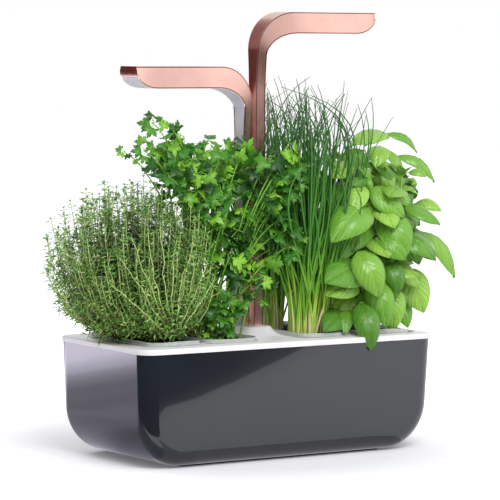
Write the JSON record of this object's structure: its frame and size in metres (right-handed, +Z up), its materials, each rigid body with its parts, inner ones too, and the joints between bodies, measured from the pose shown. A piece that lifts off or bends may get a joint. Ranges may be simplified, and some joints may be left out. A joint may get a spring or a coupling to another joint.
{
  "type": "countertop hydroponic garden",
  "caption": "Countertop hydroponic garden: dark glossy tub with a white tray, herb cartridges above a water tank, and copper-coloured lamp arms that slide up and down.",
  "frame": {"origin": "on the worktop, under the middle of the planter", "axes": "+X along the planter's length to its right end, -Y to its front, +Z up"},
  "size_m": [0.54, 0.196, 0.509],
  "materials": {
    "dark_gloss": "high gloss dark graphite",
    "tank_grey": "matte grey liner",
    "foot_rubber": "black rubber",
    "tray_white": "satin white",
    "copper_alloy": "copper-coloured anodised, finely brushed",
    "cover_white": "satin pale grey-white",
    "frosted": "frosted translucent",
    "board_green": "printed circuit board",
    "bare_aluminium": "bare",
    "black_plastic": "matte black",
    "clear_pot": "clear, slightly smoky",
    "soil": "dark fibrous growing medium",
    "felt": "white felt",
    "steel": "plain steel",
    "float_foam": "closed-cell foam",
    "thyme_green": "matte leaves",
    "parsley_green": "satin leaves",
    "chives_green": "satin stalks",
    "basil_green": "glossy leaves"
  },
  "bodies": {
    "planter": {"planter_shell": "dark_gloss", "water_tank": "tank_grey", "front_foot": "foot_rubber", "rear_foot": "foot_rubber"},
    "tray": {"tray": "tray_white", "mast_well": "black_plastic", "left_friction_pad": "foot_rubber", "right_friction_pad": "foot_rubber", "well_screw_front": "steel", "well_screw_rear": "steel", "control_box": "black_plastic", "control_board": "board_green", "led_driver": "black_plastic", "button_switch": "steel", "status_light": "frosted", "power_inlet": "black_plastic", "thyme_wick": "felt", "parsley_wick": "felt", "chives_wick": "felt", "basil_wick": "felt", "left_lead": "black_plastic", "right_lead": "black_plastic"},
    "left_arm": {"left_arm_housing": "copper_alloy", "left_arm_cover": "cover_white", "left_diffuser": "frosted", "left_heat_sink": "bare_aluminium", "left_led_board": "board_green", "left_harness": "black_plastic", "left_end_plug": "black_plastic"},
    "right_arm": {"right_arm_housing": "copper_alloy", "right_arm_cover": "cover_white", "right_diffuser": "frosted", "right_heat_sink": "bare_aluminium", "right_led_board": "board_green", "right_harness": "black_plastic", "right_end_plug": "black_plastic"},
    "thyme_cartridge": {"thyme_pot": "clear_pot", "thyme_soil": "soil", "thyme_plant": "thyme_green"},
    "parsley_cartridge": {"parsley_pot": "clear_pot", "parsley_soil": "soil", "parsley_plant": "parsley_green"},
    "chives_cartridge": {"chives_pot": "clear_pot", "chives_soil": "soil", "chives_plant": "chives_green"},
    "basil_cartridge": {"basil_pot": "clear_pot", "basil_soil": "soil", "basil_plant": "basil_green"},
    "float": {"level_rod": "steel", "level_float": "float_foam"},
    "button": {"power_button": "cover_white"}
  },
  "joints": [
    {"name": "tray_lift", "type": "slide", "parent": "planter", "child": "tray", "axis": [0, 0, 1], "range_m": [0, 0.125]},
    {"name": "left_lamp_height", "type": "slide", "parent": "tray", "child": "left_arm", "axis": [0, 0, 1], "range_m": [-0.007, 0.075], "deforming": ["left_lead"]},
    {"name": "right_lamp_height", "type": "slide", "parent": "tray", "child": "right_arm", "axis": [0, 0, 1], "range_m": [-0.07, 0.012], "deforming": ["right_lead", "chives_plant"]},
    {"name": "thyme_lift", "type": "slide", "parent": "tray", "child": "thyme_cartridge", "axis": [0, 0, 1], "range_m": [0, 0.06], "deforming": ["thyme_plant"]},
    {"name": "parsley_lift", "type": "slide", "parent": "tray", "child": "parsley_cartridge", "axis": [0, 0, 1], "range_m": [0, 0.06], "deforming": ["parsley_plant"]},
    {"name": "chives_lift", "type": "slide", "parent": "tray", "child": "chives_cartridge", "axis": [0, 0, 1], "range_m": [0, 0.06], "deforming": ["chives_plant"]},
    {"name": "basil_lift", "type": "slide", "parent": "tray", "child": "basil_cartridge", "axis": [0, 0, 1], "range_m": [0, 0.06], "deforming": ["basil_plant"]},
    {"name": "float_rise", "type": "slide", "parent": "tray", "child": "float", "axis": [0, 0, 1], "range_m": [0, 0.012]},
    {"name": "button_press", "type": "slide", "parent": "tray", "child": "button", "axis": [0, 0, -1], "range_m": [0, 0.001], "stiffness_N_per_m": 800}
  ]
}
